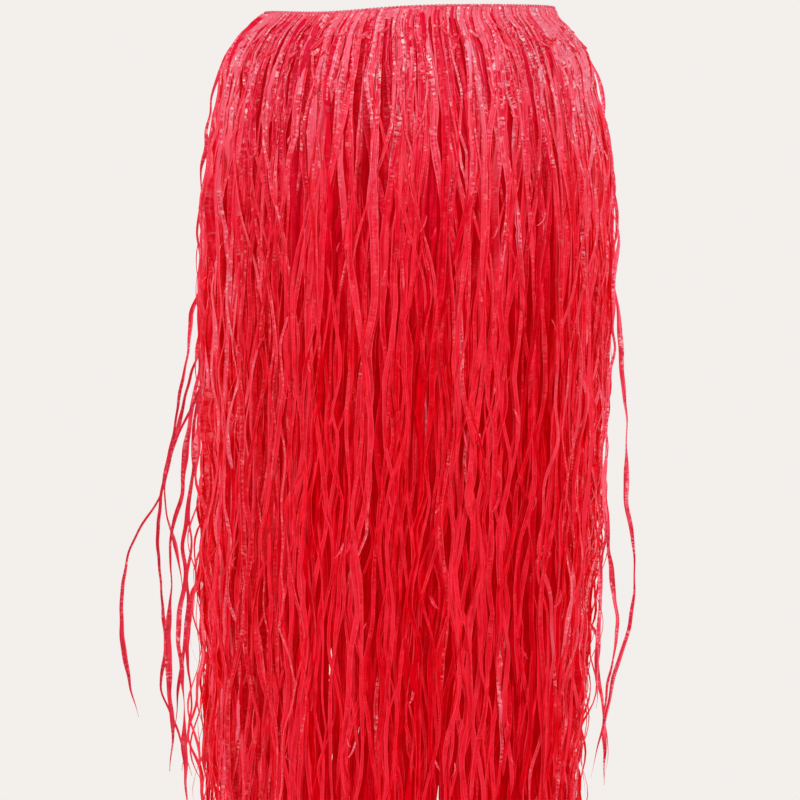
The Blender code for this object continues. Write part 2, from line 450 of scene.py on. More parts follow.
def ribbon_tree():
    """Sweeps a flat strip along each route, as wide, turned, creased and rippled as the route says."""
    tree, wiring, source, target = new_group(
        "ribbon_sweep",
        "GeometryNodeTree",
        {"Geometry": "Geometry", "Sides": "Int", "Material": "Material"},
        {"Geometry": "Geometry"},
    )

    def named(name, data_type="FLOAT"):
        node = wiring.add("GeometryNodeInputNamedAttribute", [("Name", name)], data_type=data_type)
        return node.outputs["Attribute"]

    route = wiring.add("GeometryNodeMeshToCurve", [("Mesh", source.outputs["Geometry"])])
    links = [("Curve", route.outputs[0]), ("Normal", named("across", "FLOAT_VECTOR"))]
    faced = wiring.add("GeometryNodeSetCurveNormal", links, mode="FREE")
    links = [("Resolution", source.outputs["Sides"]), ("Radius", 0.5)]
    loop = wiring.add("GeometryNodeCurvePrimitiveCircle", links)
    here = wiring.add("GeometryNodeInputPosition").outputs[0]
    squash = (1.0, STRIP_THICKNESS, 0.0)
    flat = wiring.add("ShaderNodeVectorMath", [(0, here), (1, squash)], operation="MULTIPLY").outputs[0]
    strip = wiring.add("GeometryNodeSetPosition", [("Geometry", loop.outputs[0]), ("Position", flat)])
    kept = wiring.add("GeometryNodeCaptureAttribute", [("Geometry", strip.outputs[0])])
    kept.capture_items.new("VECTOR", "Corner")
    wiring.join(here, kept.inputs["Corner"])
    links = [
        ("Curve", faced.outputs[0]),
        ("Profile Curve", kept.outputs["Geometry"]),
        ("Scale", named("width")),
        ("Fill Caps", True),
    ]
    swept = wiring.add("GeometryNodeCurveToMesh", links)

    # A crease lifts the middle of a strip, and a ripple lifts one half and lowers the other.
    side = wiring.add("ShaderNodeSeparateXYZ", [(0, kept.outputs["Corner"])]).outputs[0]
    rim = wiring.times(wiring.maths("ABSOLUTE", side), 2.0)
    inner = wiring.minus(1.0, rim)
    creased = wiring.times(inner, named("crease"))
    rippled = wiring.times(wiring.times(inner, side), named("ripple"))
    lift = wiring.times(wiring.plus(creased, rippled), named("width"))
    lifted = wiring.add("ShaderNodeVectorMath", [(0, named("outward", "FLOAT_VECTOR"))], operation="SCALE")
    wiring.join(lift, lifted.inputs["Scale"])
    # The distance out to the rims is kept for the material, which paints a highlight along them.
    rimmed = wiring.stored(swept.outputs[0], "rim", rim, "FLOAT", "POINT")
    links = [("Geometry", rimmed), ("Offset", lifted.outputs[0])]
    folded = wiring.add("GeometryNodeSetPosition", links).outputs[0]
    links = [(0, wiring.times(side, named("width"))), (1, named("along"))]
    place = wiring.add("ShaderNodeCombineXYZ", links).outputs[0]
    finish_tree(wiring, source, target, folded, place)
    return tree


def thread_tree():
    """Sweeps a round thread along each route."""
    tree, wiring, source, target = new_group(
        "thread_sweep",
        "GeometryNodeTree",
        {"Geometry": "Geometry", "Thread Radius": "Float", "Sides": "Int", "Material": "Material"},
        {"Geometry": "Geometry"},
    )
    route = wiring.add("GeometryNodeMeshToCurve", [("Mesh", source.outputs["Geometry"])])
    links = [("Resolution", source.outputs["Sides"]), ("Radius", source.outputs["Thread Radius"])]
    circle = wiring.add("GeometryNodeCurvePrimitiveCircle", links)
    links = [("Curve", route.outputs[0]), ("Profile Curve", circle.outputs[0]), ("Fill Caps", True)]
    swept = wiring.add("GeometryNodeCurveToMesh", links)
    place = wiring.add("GeometryNodeInputPosition").outputs[0]
    finish_tree(wiring, source, target, swept.outputs[0], place)
    return tree


def finish_tree(wiring, source, target, geometry, place):
    """Gives the tree's geometry its map, from a place at each corner, and its material."""
    mapped = wiring.stored(geometry, "UVMap", place, "FLOAT2", "CORNER")
    real = wiring.add("GeometryNodeRealizeInstances", [("Geometry", mapped)])
    links = [("Geometry", real.outputs[0]), ("Material", source.outputs["Material"])]
    wiring.join(wiring.add("GeometryNodeSetMaterial", links).outputs[0], target.inputs["Geometry"])


SHARP_FROM = math.radians(60)


def swept_object(name, routes, closed, values, tree, settings):
    """A plain mesh object, made by sweeping the routes (an array of strand, point and place) with a tree."""
    count, points = routes.shape[:2]
    first = np.arange(count)[:, None] * points
    edges = np.stack([first + np.arange(points - 1), first + np.arange(1, points)], axis=-1).reshape(-1, 2)
    if closed:
        edges = np.concatenate([edges, np.stack([first[:, 0] + points - 1, first[:, 0]], axis=-1)])
    guide = bpy.data.meshes.new(name + "_routes")
    guide.from_pydata(routes.reshape(-1, 3).tolist(), edges.tolist(), [])
    for label, value in values.items():
        vector = value.ndim == 3
        attribute = guide.attributes.new(label, "FLOAT_VECTOR" if vector else "FLOAT", "POINT")
        flat = np.broadcast_to(value, routes.shape if vector else (count, points))
        flat = np.ascontiguousarray(flat, np.float32).ravel()
        attribute.data.foreach_set("vector" if vector else "value", flat)
    thing = new_object(name, guide)
    sweep = thing.modifiers.new("sweep", "NODES")
    sweep.node_group = tree
    for item in tree.interface.items_tree:
        if item.item_type == "SOCKET" and item.in_out == "INPUT" and item.name in settings:
            sweep[item.identifier] = settings[item.name]
    evaluated = thing.evaluated_get(bpy.context.evaluated_depsgraph_get())
    mesh = bpy.data.meshes.new_from_object(evaluated)
    thing.modifiers.remove(sweep)
    thing.data = mesh
    mesh.name = name
    bpy.data.meshes.remove(guide)
    mesh.shade_smooth()
    mesh.set_sharp_from_angle(angle=SHARP_FROM)
    return thing


def band_shell(name, outside, inside, around, material, values):
    """A closed shell round the waist between two grids of points, each an array of row, column and place."""
    rows, columns = outside.shape[:2]
    points = np.concatenate([outside, inside[::-1]]).reshape(-1, 3)
    row, column = np.meshgrid(np.arange(2 * rows), np.arange(columns), indexing="ij")
    below = (row + 1) % (2 * rows)
    beside = (column + 1) % columns
    upper, lower = row * columns, below * columns
    faces = np.stack([upper + column, lower + column, lower + beside, upper + beside], axis=-1).reshape(-1, 4)
    mesh = bpy.data.meshes.new(name)
    mesh.from_pydata(points.tolist(), [], faces.tolist())
    down = np.concatenate([np.zeros(1), np.cumsum(norm(np.diff(outside[:, 0], axis=0), axis=-1))])
    drops = np.concatenate([down, down[::-1]])
    across = np.stack([column, column, column + 1, column + 1], axis=-1) * around / columns
    lengths = np.stack([drops[row], drops[below], drops[below], drops[row]], axis=-1)
    places = np.stack([across, lengths], axis=-1).astype(np.float32)
    mesh.uv_layers.new(name="UVMap").data.foreach_set("uv", places.ravel())
    for label, value in values.items():
        attribute = mesh.attributes.new(label, "FLOAT", "POINT")
        attribute.data.foreach_set("value", np.full(len(points), value, np.float32))
    mesh.materials.append(material)
    mesh.validate()
    mesh.update()
    mesh.shade_smooth()
    return new_object(name, mesh)


# ---- strands of raffia


def waves(rng, drop, wavelengths, shares):
    """Smooth wandering between about -1 and 1, different for each strand."""
    total = np.zeros_like(drop)
    count = len(drop)
    for wavelength, share in zip(wavelengths, shares):
        stretch = wavelength * rng.uniform(0.75, 1.3, (count, 1))
        total += share * np.sin(2 * math.pi * (drop / stretch + rng.uniform(0, 1, (count, 1))))
    return total


def kinks(rng, drop, spacing):
    """Wandering with sharp bends, as of a strip that was folded, about -1 to 1."""
    rows = []
    for row in drop:
        steps = int(row[-1] / spacing) + 4
        knots = np.cumsum(rng.uniform(0.5, 1.5, steps)) * spacing - spacing
        rows.append(np.interp(row, knots, rng.normal(0, 0.6, steps)))
    return np.array(rows)


def per_strand(rng, count, low, high):
    """One value for each strand."""
    return rng.uniform(low, high, (count, 1))


def shaped_strands(rng, angle, drop, inset, width, turn, crumple, beyond, tones):
    """Points and values of strands given by their angles, drops and insets."""
    points = on_form(angle, drop, inset)
    away = np.stack([np.cos(angle), np.sin(angle), np.zeros_like(angle)], axis=-1)
    points = points + away * beyond[..., None]
    sideways = sideways_at(angle, drop, inset)
    tangent = np.gradient(points, axis=1)
    tangent /= norm(tangent, axis=-1, keepdims=True)
    sideways -= tangent * np.sum(sideways * tangent, axis=-1, keepdims=True)
    sideways /= norm(sideways, axis=-1, keepdims=True)
    outwards = np.cross(tangent, sideways)
    cosine, sine = np.cos(turn)[..., None], np.sin(turn)[..., None]
    steps = norm(np.diff(points, axis=1), axis=-1)
    count = len(points)
    return points, {
        "across": cosine * sideways + sine * outwards,
        "outward": cosine * outwards - sine * sideways,
        "width": width,
        "along": np.concatenate([np.zeros((count, 1)), np.cumsum(steps, axis=1)], axis=1),
        "tone": per_strand(rng, count, *tones),
        "crumple": crumple,
        "crease": rng.normal(0.12, 0.24, (count, 1)) + 0.12 * waves(rng, drop, (0.21, 0.09), (0.8, 0.5)),
        "ripple": rng.normal(0, 0.8, (count, 1)) + crumple * rng.normal(0, 0.5, drop.shape),
    }


# The sets of strands, from the innermost outwards, each with the name of the length of fringe that it is part
# of. Pairs of numbers are the least and the most.
#   points: along each strand; sides: of the outline that is swept along it
#   level: how many lengths of fringe lie over it; start: the drop at which it comes out of the heading
#   upper, lower: how wide it is above and below the hips; tones: its red, from 0, the deepest, to 1
#   scatter: how far it lies in or out of its layer; sway, wild: how far it wanders, and how far it slants
#   looped: the share of strands with a loop; drawn: how much of the hollows at the sides they follow
#   hem: how far past the skirt's length they end; taper: the length of their pointed ends
Layer = namedtuple(
    "Layer",
    "name node seed count points sides level start upper lower "
    "scatter sway wild tones looped drawn hem taper",
)
LAYERS = (
    Layer(
        name="raffia_under", node="fringe_under", seed=3, count=84, points=44, sides=4, level=3, start=0.01,
        upper=(0.017, 0.02), lower=(0.016, 0.02), scatter=0.0015, sway=0.003, wild=0.2, tones=(0.0, 0.25),
        looped=0.0, drawn=(1.3, 1.4), hem=(-0.014, 0.006), taper=(0.004, 0.012),
    ),
    Layer(
        name="raffia_inner", node="fringe_inner", seed=5, count=116, points=64, sides=4, level=2,
        start=0.009, upper=(0.009, 0.014), lower=(0.008, 0.013), scatter=0.002, sway=0.005, wild=0.5,
        tones=(0.0, 0.3), looped=0.0, drawn=(1.1, 1.3), hem=(-0.002, 0.024), taper=(0.006, 0.02),
    ),
    Layer(
        name="raffia_middle", node="fringe_middle", seed=7, count=132, points=110, sides=6, level=1,
        start=0.008, upper=(0.006, 0.012), lower=(0.004, 0.009), scatter=0.0028, sway=0.007, wild=1.6,
        tones=(0.0, 0.5), looped=0.0, drawn=(0.8, 1.2), hem=(-0.012, 0.04), taper=(0.01, 0.04),
    ),
    Layer(
        name="raffia_top", node="fringe_top", seed=9, count=118, points=112, sides=6, level=0, start=0.0015,
        upper=(0.003, 0.0092), lower=(0.0032, 0.006), scatter=0.0028, sway=0.008, wild=2.6, tones=(0.1, 1.0),
        looped=0.12, drawn=(0.4, 1.2), hem=(-0.035, 0.04), taper=(0.008, 0.045),
    ),
    Layer(
        name="raffia_outer", node="fringe_top", seed=10, count=114, points=122, sides=6, level=0,
        start=0.0015, upper=(0.0024, 0.0068), lower=(0.0024, 0.0052), scatter=0.004, sway=0.009, wild=3.6,
        tones=(0.4, 1.0), looped=0.35, drawn=(0.0, 1.1), hem=(-0.04, 0.04), taper=(0.008, 0.05),
    ),
    Layer(
        name="raffia_fine", node="fringe_top", seed=12, count=100, points=112, sides=4, level=0,
        start=0.0015, upper=(0.0014, 0.0036), lower=(0.0016, 0.0034), scatter=0.0044, sway=0.01, wild=4.6,
        tones=(0.3, 1.0), looped=0.35, drawn=(0.0, 1.1), hem=(-0.05, 0.034), taper=(0.008, 0.05),
    ),
)

# How crumpled the raffia looks at each drop, at most, and how much of that shows at each level; the material
# paints crumpled raffia paler, a painted sheen that is strongest near the waist.
CRUMPLE_DROPS = (0.0, 0.05, 0.12, 0.20, 0.32, 0.50, 0.80)
CRUMPLE_MOST = (1.0, 1.0, 0.55, 0.16, 0.08, 0.05, 0.04)
CRUMPLE_OF_LEVEL = (1.0, 0.64, 0.36, 0.25)
# How far crumpling throws a strip's points off their way.
JITTER = 0.0003
# How far a strand leans to the side over the hips, as a rule and at most.
LEAN = 0.0065
LEAN_MOST = 0.042
# How far the outermost strands lie over their heading, and how far loops stand out.
HEADING_COVER = 0.0007
LOOP_REACH = (0.003, 0.012)
# Where the sides are drawn in, with the loose strands standing clear of them: the side's angle and, in
# millimetres, the drop, how far up and down the hollow reaches and how deep it is.
HOLLOWS = (
    (180, 80, 20, 9),
    (180, 116, 15, 7),
    (180, 155, 22, 7),
    (180, 225, 36, 4),
    (180, 480, 90, 7.5),
    (180, 650, 80, 15),
    (180, 800, 85, 22.5),
    (0, 85, 26, 3.5),
    (0, 215, 32, 3.5),
    (0, 460, 60, 4),
    (0, 620, 70, 7),
    (0, 760, 110, 11),
)


def at_side(cosine):
    """1 near a side, dying away towards the front and back, from the cosine of the angle off it."""
    return eased((cosine - 0.80) / 0.15)


def hollowed(angle, drop):
    """How far the strands are drawn in at the hollows."""
    depths = np.zeros_like(angle * drop)
    for side, *sizes in HOLLOWS:
        centre, reach, depth = np.array(sizes) / 1000
        depths += depth * at_side(np.cos(angle - math.radians(side))) * bump_at(drop, centre, reach)
    return depths


def loosened(drop):
    """How freely the strands move at each drop, from 0 at the heading to 1 at the thighs."""
    return 0.28 * eased((drop - 0.015) / 0.06) + 0.72 * eased((drop - 0.10) / 0.42)


def layer_routes(rng, each, layer):
    """Where a layer's strands end, and along each its drop, its angle and how far it goes to the side."""
    shape = (layer.count, 1)
    end = SKIRT_LENGTH + each(*layer.hem)
    start = np.maximum(layer.start, each(-0.006, 0.004))
    drop = start + (end - start) * np.linspace(0, 1, layer.points)[None, :] ** 1.3
    angle = even_angles(layer.count, rng.uniform(0, 1))[:, None] + rng.normal(0, 2.6 / layer.count, shape)
    # Strands slant over the hips before they hang straight, and sway more and more below.
    lean = np.clip(rng.standard_t(3, shape) * LEAN * layer.wild, -LEAN_MOST, LEAN_MOST)
    along = lean * eased((drop - each(0.0, 0.16)) / each(0.12, 0.34))
    along += layer.sway * loosened(drop) * waves(rng, drop, (0.46, 0.20, 0.095), (0.8, 0.40, 0.14))
    along += 0.6 * layer.sway * eased((drop - 0.15) / 0.35) * kinks(rng, drop, 0.052)
    upper_sway = 0.3 * layer.sway * eased((drop - 0.008) / 0.02) * (1 - eased((drop - 0.1) / 0.15))
    along += upper_sway * kinks(rng, drop, 0.028)
    return end, drop, angle, along


def layer_crumple(rng, each, layer, drop, hip):
    """How crumpled a layer's strands are along their length, with a glossy stretch with painted glints on
    some of them.
    """
    strength = np.clip(0.30 + 0.85 * rng.beta(1.2, 1.4, (layer.count, 1)), 0, 1)
    crumple = strength * np.interp(drop, CRUMPLE_DROPS, CRUMPLE_MOST)
    crumple *= CRUMPLE_OF_LEVEL[layer.level]
    crumple *= 1 + 1.40 * hip
    glossy = 0.85 * bump_at(drop, each(0.15, 0.70), each(0.006, 0.040))
    glossy = glossy * (each(0, 1) < 0.20 / (1 + layer.level))
    return np.maximum(np.minimum(crumple, 1.0), glossy)


def layer_inset(rng, each, layer, angle, drop, crumple, aside):
    """How far a layer's strands lie inside the skirt's outside."""
    inset = strand_inset(layer.level, drop)
    inset = inset + each(-0.4, 0.6) * layer.scatter * (0.5 + 0.8 * eased(drop / 0.5))
    inset += 0.3 * layer.scatter * waves(rng, drop, (0.33, 0.13), (0.8, 0.4)) * eased((drop - 0.01) / 0.05)
    inset += rng.normal(0, JITTER, drop.shape) * crumple * eased((drop - 0.004) / 0.02)
    inset -= HEADING_COVER * (layer.level == 0) * (1 - eased(drop / 0.03))
    low, high = layer.drawn
    inset += hollowed(angle, drop) * (low + (high - low) * each(0, 1) ** 0.45)
    # At the sides the strands also sway in and out, so that the skirt's edge is open here and there.
    inset += 1.5 * layer.scatter * aside * loosened(drop) * waves(rng, drop, (0.17, 0.08), (0.8, 0.5))
    return inset


def layer_width(rng, each, layer, drop, end, crumple):
    """How wide a layer's strands are: gathered at the heading, narrow below the hips, pointed at the end."""
    breadth = each(*layer.upper)
    narrowed = each(*layer.lower)
    narrowing = eased((drop - each(0.06, 0.30)) / each(0.08, 0.25))
    width = breadth + (narrowed - breadth) * narrowing
    width *= 0.66 + 0.34 * eased(drop / 0.085)
    width *= 1 + 0.13 * waves(rng, drop, (0.13, 0.05), (0.8, 0.5))
    width *= 1 + 0.05 * crumple * rng.normal(0, 1, drop.shape).clip(-2, 2)
    width *= np.clip((end - drop) / each(*layer.taper), 0.12, 1)
    return width


def layer_turn(rng, each, layer, drop, crumple):
    """How far a layer's strands are turned about their own length, some of them right over."""
    turn = rng.normal(0, 0.30, (layer.count, 1))
    turn = turn + 0.34 * waves(rng, drop, (0.31, 0.12, 0.055), (0.8, 0.5, 0.35))
    half_turn = np.where(each(0, 1) < 0.30 * (layer.level < 2), math.pi, 0.0)
    turn += half_turn * eased((drop - each(0.15, 0.7)) / each(0.03, 0.09))
    turn += 0.12 * crumple * rng.normal(0, 1, drop.shape)
    turn *= 0.35 + 0.65 * eased((drop - 0.012) / 0.04)
    return turn


def layer_loops(each, layer, drop, aside):
    """How far a layer's strands stand out in loops, but not at the sides above the hips."""
    looped = np.where(each(0, 1) < layer.looped, each(*LOOP_REACH), 0.0)
    beyond = looped * bump_at(drop, each(0.10, 0.72), each(0.025, 0.055)) * eased((drop - 0.03) / 0.08)
    beyond *= 1 - aside * (1 - eased((drop - 0.20) / 0.10))
    return beyond


def layer_strands(layer):
    """The strands of one layer, from their gathered tops to their ragged ends."""
    rng = np.random.default_rng(layer.seed)
    each = partial(per_strand, rng, layer.count)
    end, drop, angle, along = layer_routes(rng, each, layer)
    # The raffia is more crumpled at both sides, round the left of the front and most of all at the right hip,
    # and painted paler there as sheen.
    aside = at_side(np.abs(np.cos(angle)))
    leftward = eased((-np.cos(angle) - 0.40) / 0.40)
    hip = bump_at(np.cos(angle), 0.88, 0.20) * (1 - eased(drop / 0.36))
    crumple = layer_crumple(rng, each, layer, drop, hip)
    along += rng.normal(0, JITTER, drop.shape) * crumple * eased((drop - 0.01) / 0.03)
    inset = layer_inset(rng, each, layer, angle, drop, crumple, aside)
    # Painted sheen: more crumple, and so paler, at the sides and round the left.
    brightened = np.maximum(0.70 * aside, 0.38 * leftward) * each(0.0, 1.0)
    crumple = np.maximum(crumple, brightened)
    width = layer_width(rng, each, layer, drop, end, crumple)
    turn = layer_turn(rng, each, layer, drop, crumple)
    beyond = layer_loops(each, layer, drop, aside)
    angle = turned(angle, drop, inset, along)
    routes, values = shaped_strands(rng, angle, drop, inset, width, turn, crumple, beyond, layer.tones)
    # The red is brighter in the same places, which is painted light.
    values["tone"] = values["tone"] + 0.30 * aside
    values["tone"] = values["tone"] + 0.10 * leftward * eased((drop - 0.18) / 0.12) + 0.27 * hip
    return routes, values


# Strands that hang clear of the rest, at the sides or in front of the others, in millimetres: the angle each
# hangs at, its width where it is narrow, and how far beyond the rest it hangs at each drop.
LOOSE_STRANDS = (
    (180, 3.0, ((285, 7), (333, 11), (368, 17), (400, 21), (433, 26), (468, 32), (484, 35), (507, 52),
                (534, 64), (579, 71), (634, 67), (677, 59), (702, 50))),
    (178, 3.0, ((340, 5), (415, 20), (455, 30), (484, 35), (518, 37), (567, 33), (629, 24), (672, 31),
                (704, 17), (761, -2))),
    (183, 4.2, ((355, 0), (381, 4), (428, 11), (484, 13), (505, 22), (535, 24), (568, 21), (624, 23),
                (671, 21), (714, 17), (756, 21))),
    (186, 4.5, ((410, 0), (457, 3), (476, 6), (508, 9), (535, 12), (565, 6), (596, 14), (624, 14), (679, 7),
                (742, 6), (800, 4))),
    (176, 2.6, ((370, 0), (413, 6), (454, 3), (508, 7), (524, 2), (565, 6), (599, 3), (637, 8), (674, 13),
                (727, 18))),
    (189, 2.4, ((365, 0), (397, 9), (423, 21), (440, 27), (470, 32), (500, 31), (540, 18), (580, 12))),
    (181, 2.6, ((40, 0), (62, 1), (84, 2), (101, -1), (118, 1.5), (134, -1), (155, 2), (176, -1),
                (200, 1.5), (222, 2), (245, -2), (300, -3))),
    (-1, 2.4, ((50, 0), (80, 2), (100, 1), (125, -3), (180, -2), (205, 2), (230, 1), (260, -3))),
    (172, 3.0, ((560, 0), (600, 4), (650, 6), (690, 1), (720, 7), (757, 12))),
    (0, 3.2, ((285, 6), (306, 8), (344, 12), (416, 20), (465, 22), (489, 21), (526, 31), (588, 36),
              (624, 31), (669, 19), (715, 12), (770, 1))),
    (-3, 3.0, ((460, 0), (543, 8), (596, 17), (623, 21), (659, 16), (702, 12), (750, 14), (777, 16))),
    (4, 2.6, ((610, 0), (666, 3), (706, 12), (746, 19), (770, 16))),
    (-7, 3.0, ((200, 0), (228, 5), (262, 2), (320, 3), (340, 7), (372, 2), (500, 2), (520, 7), (548, 1),
               (700, 4))),
    (62, 3.2, ((330, 0), (400, 6), (470, 5), (540, 13), (620, 9), (700, 12), (765, 7))),
    (81, 2.8, ((400, 0), (480, 7), (540, 3), (600, 10), (680, 14), (750, 10))),
    (97, 3.4, ((300, 0), (390, 8), (460, 12), (560, 9), (640, 15), (730, 13))),
    (118, 3.0, ((430, 0), (500, 4), (570, 12), (650, 10), (720, 14), (790, 9))),
    (244, 2.8, ((420, 0), (500, 6), (590, 9), (680, 5), (760, 10))),
    (283, 3.0, ((380, 0), (470, 4), (550, 9), (650, 6), (740, 11))),
)
LOOSE_POINTS = 150
# How much wider a loose strand is on the whole than where it is narrow.
LOOSE_FULLNESS = 1.38


def loose_strands(alone):
    """The strands that hang clear, each leaving its layer where its row starts.

    They are the ones that hang alone at the sides, or else the ones over other strands.
    """
    rng = np.random.default_rng(31)
    angles, widths, reaches = zip(*LOOSE_STRANDS)
    drops, beyonds, leaving = [], [], []
    for reach in reaches:
        knots, out = np.array(reach).T / 1000
        drop = np.linspace(min(0.09, knots[0] - 0.03), knots[-1], LOOSE_POINTS)
        out = np.pad(np.interp(drop, knots, out, left=0.0), 3, mode="edge")
        drops.append(drop)
        beyonds.append(np.convolve(out, np.array((1, 2, 3, 4, 3, 2, 1)) / 16, mode="valid"))
        leaving.append(knots[0])
    drop, beyond = np.array(drops), np.array(beyonds)
    angle = np.radians(angles)[:, None] * np.ones_like(drop)
    width = LOOSE_FULLNESS * (np.array(widths) / 1000)[:, None]
    width = width * (1 + 0.35 * waves(rng, drop, (0.15, 0.06), (0.8, 0.4)))
    width *= np.clip((drop[:, -1:] - drop) / 0.05, 0.1, 1) * (0.5 + 0.5 * eased((drop - drop[:, :1]) / 0.06))
    crumple = per_strand(rng, len(LOOSE_STRANDS), 0.45, 0.75) * (1.0 if alone else 0.3) * np.ones_like(drop)
    turn = 1.1 + 0.7 * waves(rng, drop, (0.23, 0.10), (0.9, 0.5))
    inset = 0.0006 * waves(rng, drop, (0.06, 0.03), (0.8, 0.4)) - 0.0008
    inset += hollowed(angle, drop) * (1 - eased((drop - np.array(leaving)[:, None]) / 0.02))
    kept = (np.abs(np.cos(angle[:, 0])) > 0.9) == alone
    angle = turned(angle, drop, inset, 0.006 * waves(rng, drop, (0.31, 0.14), (0.8, 0.3)))
    routes, values = shaped_strands(rng, angle, drop, inset, width, turn, crumple, beyond, (0.3, 0.8))
    return routes[kept], {label: value[kept] for label, value in values.items()}


# Short ends: the drops that they lie between, how they gather towards the higher ones, how long they are, how
# far they slant, how wide they are, how far they rise and how crumpled they are.
Ends = namedtuple("Ends", "name seed count highest lowest gathered length slant width raised crumple")
CURLED_ENDS = (
    Ends(
        name="curled_ends", seed=47, count=130, highest=0.012, lowest=0.052, gathered=(1.2, 2.2),
        length=(0.007, 0.016), slant=(0.2, 2.3), width=(0.002, 0.0042), raised=0.0022, crumple=(0.35, 0.75),
    ),
    Ends(
        name="broken_ends", seed=48, count=190, highest=0.07, lowest=0.76, gathered=(1.0, 1.0),
        length=(0.008, 0.022), slant=(0.0, 1.0), width=(0.0014, 0.003), raised=0.004, crumple=(0.05, 0.6),
    ),
)
CURLED_POINTS = 11


def curled_ends(ends):
    """Short ends that curl across the strands: folded over below the heading, and broken off further down."""
    rng = np.random.default_rng(ends.seed)
    each = partial(per_strand, rng, ends.count)
    share = np.linspace(0, 1, CURLED_POINTS)[None, :]
    length = each(*ends.length)
    lean = rng.choice((-1, 1), (ends.count, 1))
    least, most = ends.slant
    slant = lean * (each(least, 0.3 * most) + 0.9 * each(0.2, most) * share**2)
    first = ends.highest + (ends.lowest - ends.highest) * rng.beta(*ends.gathered, (ends.count, 1))
    step = length / (CURLED_POINTS - 1)
    drop = first + np.cumsum(step * np.cos(slant), axis=1)
    angle = even_angles(ends.count, 0.3)[:, None] + rng.normal(0, 0.02, (ends.count, 1))
    rise = each(0.0, ends.raised) * np.sin(math.pi * share * each(0.6, 1.0))
    inset = 0.0025 * (1 - share) ** 3 - 0.0012 - rise
    inset += hollowed(angle, drop)
    angle = turned(angle, drop, inset, np.cumsum(step * np.sin(slant), axis=1))
    width = each(*ends.width) * (0.25 + 0.75 * np.sin(math.pi * (0.10 + 0.82 * share)))
    turn = each(-0.5, 0.5) + each(-1.1, 1.1) * share
    crumple = each(*ends.crumple) * np.ones_like(share)
    flat = np.zeros_like(drop)
    return shaped_strands(rng, angle, drop, inset, width, turn, crumple, flat, (0.3, 0.9))


# ---- waist

# The heading of each length of fringe, from the outermost inwards, flat and before it is gathered on to the
# elastic by a fifth.
HEADING_CUTS = {
    "fringe_top": (1.000, 0.0120),
    "fringe_middle": (0.985, 0.0112),
    "fringe_inner": (0.970, 0.0104),
    "fringe_under": (0.955, 0.0100),
}
# The length round the waist, which a band's surface is mapped over.
WAIST_ROUND = 0.802
GATHERS = 300
GATHER_DEPTH = 0.00065
GATHER_DROP = 0.0026
HEADING_COLUMNS = 1200
HEADING_ROWS = 5
HEADING_TUCK = 0.0002
HEADING_LOOK = {"tone": 0.8, "crumple": 0.75, "rim": 0.0}
HEADING_SEED = 60


def heading_shell(name, level, material, columns, seed):
    """One length of fringe's gathered heading, its gathers closer in some places than in others."""
    rng = np.random.default_rng(seed)
    angles = even_angles(columns, 0.0)
    knots = np.cumsum(rng.uniform(0.4, 1.6, GATHERS))
    knots = np.concatenate([[0.0], knots]) * columns / knots[-1]
    folds = rng.uniform(-1, 1, GATHERS + 1)
    folds[-1] = folds[0]
    top = HEADING_STEP * level
    outside, inside = [], []
    for row, drop in enumerate(top + (HEADING_HEIGHT - top) * np.linspace(0, 1, HEADING_ROWS)):
        # The folds lean a little from row to row, and deepen downwards.
        fold = np.interp(np.arange(columns) + 0.8 * row, knots, folds, period=columns)
        depth = GATHER_DEPTH * fold * (0.4 + 0.15 * row)
        uneven = drop + GATHER_DROP * fold * row / (HEADING_ROWS - 1)
        outside.append(on_form(angles, uneven, heading_inset(level) + depth + HEADING_TUCK))
        inside.append(on_form(angles, uneven, heading_inset(level) + HEADING_THICKNESS + depth))
    return band_shell(name, np.array(outside), np.array(inside), WAIST_ROUND, material, HEADING_LOOK)


ELASTIC_COLUMNS = 360
ELASTIC_ROWS = 13
ELASTIC_CORDS = 4
CORD_HEIGHT = 0.0003


def elastic_band(material):
    """The elastic: cords side by side, woven over."""
    angles = even_angles(ELASTIC_COLUMNS, 0.5)
    inset = heading_inset(len(HEADING_CUTS))
    outside, inside = [], []
    for share in np.linspace(0, 1, ELASTIC_ROWS):
        drop = np.full(ELASTIC_COLUMNS, ELASTIC_DROP + ELASTIC_HEIGHT * share)
        cord = CORD_HEIGHT * abs(math.sin(math.pi * ELASTIC_CORDS * share))
        outside.append(on_form(angles, drop, inset + CORD_HEIGHT - cord))
        inside.append(on_form(angles, drop, inset + ELASTIC_THICKNESS - CORD_HEIGHT + cord))
    return band_shell("elastic_band", np.array(outside), np.array(inside), WAIST_ROUND, material, {})


ROLL_RADIUS = 0.0011
ROLL_INSET = 0.0006
ROLL_UNEVENNESS = 0.00012
ROLL_COLUMNS = 640
ROLL_LOOK = {"tone": 0.8, "crumple": 0.9, "rim": 0.0}
STITCHES_ROUND = 206
STITCH_POINTS = 10
STITCH_REACH = ROLL_RADIUS + 0.0003
STITCH_RADIUS = 0.00034


def rolled_edge(material):
    """The top edge rolled over, with small lumps where it is gathered."""
    rng = np.random.default_rng(5)
    shape = (1, ROLL_COLUMNS)
    angles = even_angles(ROLL_COLUMNS, 0.0)[None, :]
    inset = ROLL_INSET + rng.normal(0, ROLL_UNEVENNESS, shape)
    routes = on_form(angles, np.zeros(shape), inset)
    routes[..., 2] += rng.normal(0, ROLL_UNEVENNESS, shape)
    values = {"along": np.linspace(0, WAIST_ROUND, ROLL_COLUMNS)[None, :]}
    values.update((label, np.full(shape, level)) for label, level in ROLL_LOOK.items())
    settings = {"Thread Radius": ROLL_RADIUS, "Sides": 8, "Material": material}
    return swept_object("rolled_edge", routes, True, values, THREADS, settings)


